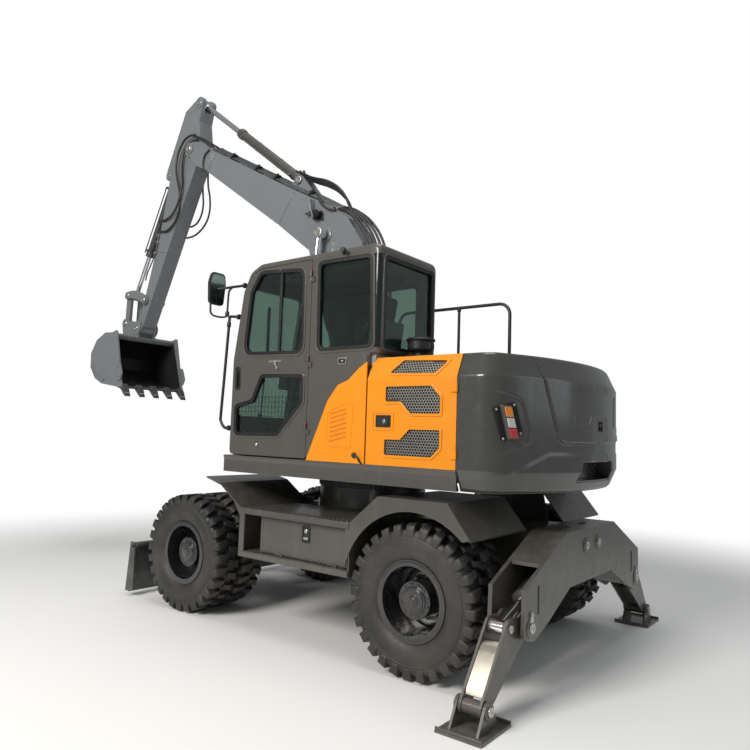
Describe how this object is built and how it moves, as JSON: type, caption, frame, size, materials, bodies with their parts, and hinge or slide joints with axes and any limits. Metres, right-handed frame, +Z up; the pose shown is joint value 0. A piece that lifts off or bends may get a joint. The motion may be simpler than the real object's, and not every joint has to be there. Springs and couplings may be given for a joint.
{
  "type": "wheeled excavator",
  "caption": "Wheeled excavator with twin tyres, cab, slewing upper body, boom, arm and bucket, dozer blade in front and outriggers behind.",
  "frame": {"origin": "on the ground under the slewing axis, midway between the axles", "axes": "+X forward to the blade, +Y to the left to the cab, +Z up"},
  "size_m": [6.63, 3.468, 5.8709],
  "materials": {
    "orange_paint": "satin",
    "grey_paint": "satin",
    "cab_paint": "satin",
    "rim_paint": "satin",
    "chrome": "polished",
    "glass": "polished",
    "black_plastic": "matte",
    "lamp_lens": "gloss",
    "cast_iron": "matte",
    "tyre_rubber": "matte"
  },
  "bodies": {
    "root": {"chassis_frame": "grey_paint", "side_frame_left": "grey_paint", "side_frame_right": "grey_paint", "front_axle": "grey_paint", "rear_axle": "grey_paint", "outrigger_beam": "grey_paint"},
    "knuckle_left": {"knuckle_left": "grey_paint"},
    "knuckle_right": {"knuckle_right": "grey_paint"},
    "wheel_front_left": {"tyres_front_left": "tyre_rubber", "rims_front_left": "rim_paint"},
    "wheel_front_right": {"tyres_front_right": "tyre_rubber", "rims_front_right": "rim_paint"},
    "wheel_rear_left": {"tyres_rear_left": "tyre_rubber", "rims_rear_left": "rim_paint"},
    "wheel_rear_right": {"tyres_rear_right": "tyre_rubber", "rims_rear_right": "rim_paint"},
    "toolbox_door_left": {"toolbox_door_left": "grey_paint"},
    "outrigger_leg_left": {"outrigger_leg_left": "grey_paint"},
    "outrigger_pad_left": {"outrigger_pad_left": "grey_paint"},
    "outrigger_barrel_left": {"outrigger_barrel_left": "grey_paint"},
    "outrigger_rod_left": {"outrigger_rod_left": "chrome"},
    "toolbox_door_right": {"toolbox_door_right": "grey_paint"},
    "outrigger_leg_right": {"outrigger_leg_right": "grey_paint"},
    "outrigger_pad_right": {"outrigger_pad_right": "grey_paint"},
    "outrigger_barrel_right": {"outrigger_barrel_right": "grey_paint"},
    "outrigger_rod_right": {"outrigger_rod_right": "chrome"},
    "blade": {"blade": "grey_paint"},
    "blade_barrels": {"blade_barrels": "grey_paint"},
    "blade_rods": {"blade_rods": "chrome"},
    "upper": {"platform": "grey_paint", "cab_shell": "cab_paint", "cab_glass": "glass", "cab_interior": "black_plastic", "hood": "grey_paint", "front_panel_left": "orange_paint", "right_bodywork": "orange_paint", "counterweight": "grey_paint", "lamps": "lamp_lens", "pre_cleaner": "black_plastic", "rails": "cab_paint", "mirror": "black_plastic", "engine_block": "cast_iron"},
    "cab_door": {"cab_door": "cab_paint", "cab_door_glass": "glass"},
    "engine_door_left": {"engine_door_left": "orange_paint"},
    "engine_door_right": {"engine_door_right": "orange_paint"},
    "rear_hatch": {"rear_hatch": "grey_paint"},
    "boom": {"boom": "grey_paint"},
    "boom_barrels": {"boom_barrels": "grey_paint"},
    "boom_rods": {"boom_rods": "chrome"},
    "arm": {"arm": "grey_paint"},
    "arm_barrel": {"arm_barrel": "grey_paint"},
    "arm_rod": {"arm_rod": "chrome"},
    "bucket_barrel": {"bucket_barrel": "grey_paint"},
    "bucket_rod": {"bucket_rod": "chrome"},
    "rocker": {"rocker": "grey_paint"},
    "link": {"link": "grey_paint"},
    "bucket": {"bucket": "grey_paint"}
  },
  "joints": [
    {"name": "steer_left", "type": "hinge", "parent": "root", "child": "knuckle_left", "pos_m": [1.275, 0.66, 0.53], "axis": [0, 0, 1], "range_deg": [-25, 25]},
    {"name": "steer_right", "type": "hinge", "parent": "root", "child": "knuckle_right", "pos_m": [1.275, -0.66, 0.53], "axis": [0, 0, 1], "range_deg": [-25, 25]},
    {"name": "roll_front_left", "type": "hinge", "parent": "knuckle_left", "child": "wheel_front_left", "pos_m": [1.275, 1, 0.53], "axis": [0, 1, 0], "continuous": true},
    {"name": "roll_front_right", "type": "hinge", "parent": "knuckle_right", "child": "wheel_front_right", "pos_m": [1.275, -1, 0.53], "axis": [0, 1, 0], "continuous": true},
    {"name": "roll_rear_left", "type": "hinge", "parent": "root", "child": "wheel_rear_left", "pos_m": [-1.275, 1, 0.53], "axis": [0, 1, 0], "continuous": true},
    {"name": "roll_rear_right", "type": "hinge", "parent": "root", "child": "wheel_rear_right", "pos_m": [-1.275, -1, 0.53], "axis": [0, 1, 0], "continuous": true},
    {"name": "open_toolbox_left", "type": "hinge", "parent": "root", "child": "toolbox_door_left", "pos_m": [-0.2, 1.152, 0.664], "axis": [-1, 0, 0], "range_deg": [0, 90]},
    {"name": "open_toolbox_right", "type": "hinge", "parent": "root", "child": "toolbox_door_right", "pos_m": [-0.2, -1.152, 0.664], "axis": [1, 0, 0], "range_deg": [0, 90]},
    {"name": "lower_outrigger_leg_left", "type": "hinge", "parent": "root", "child": "outrigger_leg_left", "pos_m": [-1.99, 1.075, 0.497], "axis": [1, 0, 0], "range_deg": [-8, 65]},
    {"name": "tilt_outrigger_pad_left", "type": "hinge", "parent": "outrigger_leg_left", "child": "outrigger_pad_left", "pos_m": [-1.99, 1.554, 0.125], "axis": [1, 0, 0], "range_deg": [-15, 15]},
    {"name": "swing_outrigger_barrel_left", "type": "hinge", "parent": "root", "child": "outrigger_barrel_left", "pos_m": [-1.99, 0.124, 0.905], "axis": [1, 0, 0], "range_deg": [-1.04, 6.28]},
    {"name": "slide_outrigger_rod_left", "type": "slide", "parent": "outrigger_barrel_left", "child": "outrigger_rod_left", "axis": [0, 0.9449, -0.3273], "range_m": [-0.1493, 0.021]},
    {"name": "lower_outrigger_leg_right", "type": "hinge", "parent": "root", "child": "outrigger_leg_right", "pos_m": [-1.99, -1.075, 0.497], "axis": [-1, 0, 0], "range_deg": [-8, 65]},
    {"name": "tilt_outrigger_pad_right", "type": "hinge", "parent": "outrigger_leg_right", "child": "outrigger_pad_right", "pos_m": [-1.99, -1.554, 0.125], "axis": [-1, 0, 0], "range_deg": [-15, 15]},
    {"name": "swing_outrigger_barrel_right", "type": "hinge", "parent": "root", "child": "outrigger_barrel_right", "pos_m": [-1.99, -0.124, 0.905], "axis": [-1, 0, 0], "range_deg": [-1.04, 6.28]},
    {"name": "slide_outrigger_rod_right", "type": "slide", "parent": "outrigger_barrel_right", "child": "outrigger_rod_right", "axis": [0, -0.9449, -0.3273], "range_m": [-0.1493, 0.021]},
    {"name": "lift_blade", "type": "hinge", "parent": "root", "child": "blade", "pos_m": [1.62, 0, 0.6], "axis": [0, -1, 0], "range_deg": [-6, 30]},
    {"name": "swing_blade_barrels", "type": "hinge", "parent": "root", "child": "blade_barrels", "pos_m": [1.56, 0, 0.96], "axis": [0, -1, 0], "range_deg": [-3.44, 16.02]},
    {"name": "slide_blade_rods", "type": "slide", "parent": "blade_barrels", "child": "blade_rods", "axis": [0.7913, 0, -0.6114], "range_m": [-0.147, 0.0318]},
    {"name": "slew", "type": "hinge", "parent": "root", "child": "upper", "pos_m": [0, 0, 1.25], "axis": [0, 0, 1], "continuous": true},
    {"name": "open_cab_door", "type": "hinge", "parent": "upper", "child": "cab_door", "pos_m": [-0.174, 1.147, 1.5], "axis": [0, 0, 1], "range_deg": [0, 110]},
    {"name": "open_engine_door_left", "type": "hinge", "parent": "upper", "child": "engine_door_left", "pos_m": [-1.596, 1.161, 1.5], "axis": [0, 0, 1], "range_deg": [0, 100]},
    {"name": "open_engine_door_right", "type": "hinge", "parent": "upper", "child": "engine_door_right", "pos_m": [-1.596, -1.161, 1.5], "axis": [0, 0, -1], "range_deg": [0, 100]},
    {"name": "open_rear_hatch", "type": "hinge", "parent": "upper", "child": "rear_hatch", "pos_m": [-1.846, 0, 2.271], "axis": [0, 1, 0], "range_deg": [0, 60]},
    {"name": "lift_boom", "type": "hinge", "parent": "upper", "child": "boom", "pos_m": [0.1, 0, 1.8], "axis": [0, -1, 0], "range_deg": [-66, 6]},
    {"name": "swing_boom_barrels", "type": "hinge", "parent": "upper", "child": "boom_barrels", "pos_m": [0.85, 0, 1.42], "axis": [0, -1, 0], "range_deg": [-64.72, 6.16]},
    {"name": "slide_boom_rods", "type": "slide", "parent": "boom_barrels", "child": "boom_rods", "axis": [-0.1004, 0, 0.995], "range_m": [-0.9096, 0.0854]},
    {"name": "swing_arm", "type": "hinge", "parent": "boom", "child": "arm", "pos_m": [3, 0, 5.195], "axis": [0, 1, 0], "range_deg": [-70, 35]},
    {"name": "swing_arm_barrel", "type": "hinge", "parent": "boom", "child": "arm_barrel", "pos_m": [1.1, 0, 4.41], "axis": [0, 1, 0], "range_deg": [-3.87, 2.08]},
    {"name": "slide_arm_rod", "type": "slide", "parent": "arm_barrel", "child": "arm_rod", "axis": [0.7925, 0, 0.6098], "range_m": [-0.6432, 0.3231]},
    {"name": "curl_bucket", "type": "hinge", "parent": "arm", "child": "bucket", "pos_m": [3.947, 0, 2.972], "axis": [0, 1, 0], "range_deg": [-60, 90]},
    {"name": "swing_rocker", "type": "hinge", "parent": "arm", "child": "rocker", "pos_m": [3.806, 0, 3.333], "axis": [0, 1, 0], "range_deg": [-40.08, 59.97]},
    {"name": "swing_link", "type": "hinge", "parent": "rocker", "child": "link", "pos_m": [4.211, 0, 3.436], "axis": [0, 1, 0], "range_deg": [-57, 38.1]},
    {"name": "swing_bucket_barrel", "type": "hinge", "parent": "arm", "child": "bucket_barrel", "pos_m": [3.461, 0, 4.955], "axis": [0, 1, 0], "range_deg": [-3.54, 5.16]},
    {"name": "slide_bucket_rod", "type": "slide", "parent": "bucket_barrel", "child": "bucket_rod", "axis": [0.4427, 0, -0.8967], "range_m": [-0.2617, 0.391]}
  ],
  "couplings": [
    {"joint": "steer_right", "follows": "steer_left", "ratio": 1},
    {"joint": "swing_outrigger_barrel_left", "follows": "lower_outrigger_leg_left", "ratio": 0.092},
    {"joint": "slide_outrigger_rod_left", "follows": "lower_outrigger_leg_left", "m_per_rad": -0.129},
    {"joint": "swing_outrigger_barrel_right", "follows": "lower_outrigger_leg_right", "ratio": 0.092},
    {"joint": "slide_outrigger_rod_right", "follows": "lower_outrigger_leg_right", "m_per_rad": -0.129},
    {"joint": "swing_blade_barrels", "follows": "lift_blade", "ratio": 0.524},
    {"joint": "slide_blade_rods", "follows": "lift_blade", "m_per_rad": -0.275},
    {"joint": "swing_boom_barrels", "follows": "lift_boom", "ratio": 0.976},
    {"joint": "slide_boom_rods", "follows": "lift_boom", "m_per_rad": 0.787},
    {"joint": "swing_arm_barrel", "follows": "swing_arm", "ratio": 0.051},
    {"joint": "slide_arm_rod", "follows": "swing_arm", "m_per_rad": 0.524},
    {"joint": "swing_rocker", "follows": "curl_bucket", "ratio": 0.663},
    {"joint": "swing_link", "follows": "curl_bucket", "ratio": -0.63},
    {"joint": "swing_bucket_barrel", "follows": "curl_bucket", "ratio": 0.054},
    {"joint": "slide_bucket_rod", "follows": "curl_bucket", "m_per_rad": 0.247}
  ]
}
